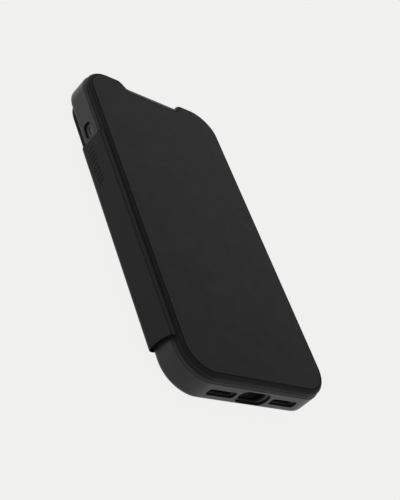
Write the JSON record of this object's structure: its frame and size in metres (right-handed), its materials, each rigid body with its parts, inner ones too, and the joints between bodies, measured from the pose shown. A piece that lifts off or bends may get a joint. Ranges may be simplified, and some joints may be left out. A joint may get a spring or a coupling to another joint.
{
  "type": "phone folio wallet case",
  "caption": "Slim folio case for a slab phone: hard shell with a soft bumper inside, wrapped by a hinged spine and front cover with a card pocket and an earpiece notch.",
  "frame": {"origin": "middle of the rear panel's outer face, on which the closed case lies", "axes": "+X to the right seen from the front cover, +Y towards the phone's top end, +Z out of the front cover; the folio's folds are on the left, -X"},
  "size_m": [0.0786, 0.152, 0.0139],
  "materials": {
    "shell": "satin hard plastic with a soft-touch coat",
    "bumper": "matt soft elastomer",
    "folio": "smooth coated synthetic leather, fine grain",
    "lining": "short microfibre nap",
    "board": "plain stiffener board",
    "film": "bonding film",
    "magnet": "nickel-plated magnet"
  },
  "bodies": {
    "case": {"hard_shell": "shell", "bumper": "bumper", "back_lining": "lining", "keeper_magnet_upper": "magnet", "keeper_magnet_lower": "magnet", "camera_guard": "bumper", "bonding_film": "film", "rear_panel": "folio", "rear_hinge": "folio"},
    "spine": {"spine_skin": "folio", "spine_board": "board", "spine_lining": "lining", "front_hinge": "folio"},
    "cover": {"cover_skin": "folio", "cover_board": "board", "cover_lining": "lining", "cover_magnet_upper": "magnet", "cover_magnet_lower": "magnet", "card_pocket": "folio"},
    "power_key": {"power_button": "bumper"},
    "volume_up_key": {"volume_up_button": "bumper"},
    "volume_down_key": {"volume_down_button": "bumper"}
  },
  "joints": [
    {"name": "spine_hinge", "type": "hinge", "parent": "case", "child": "spine", "pos_m": [-0.04, 0, 0], "axis": [0, -1, 0], "range_deg": [0, 180], "deforming": ["rear_hinge"]},
    {"name": "cover_hinge", "type": "hinge", "parent": "spine", "child": "cover", "pos_m": [-0.0396, 0, 0.0123], "axis": [0, -1, 0], "range_deg": [0, 180], "deforming": ["front_hinge"]},
    {"name": "power_press", "type": "slide", "parent": "case", "child": "power_key", "axis": [-1, 0, 0], "range_m": [0, 0.0005], "stiffness_N_per_m": 700},
    {"name": "volume_up_press", "type": "slide", "parent": "case", "child": "volume_up_key", "axis": [1, 0, 0], "range_m": [0, 0.0005], "stiffness_N_per_m": 700},
    {"name": "volume_down_press", "type": "slide", "parent": "case", "child": "volume_down_key", "axis": [1, 0, 0], "range_m": [0, 0.0005], "stiffness_N_per_m": 700}
  ]
}
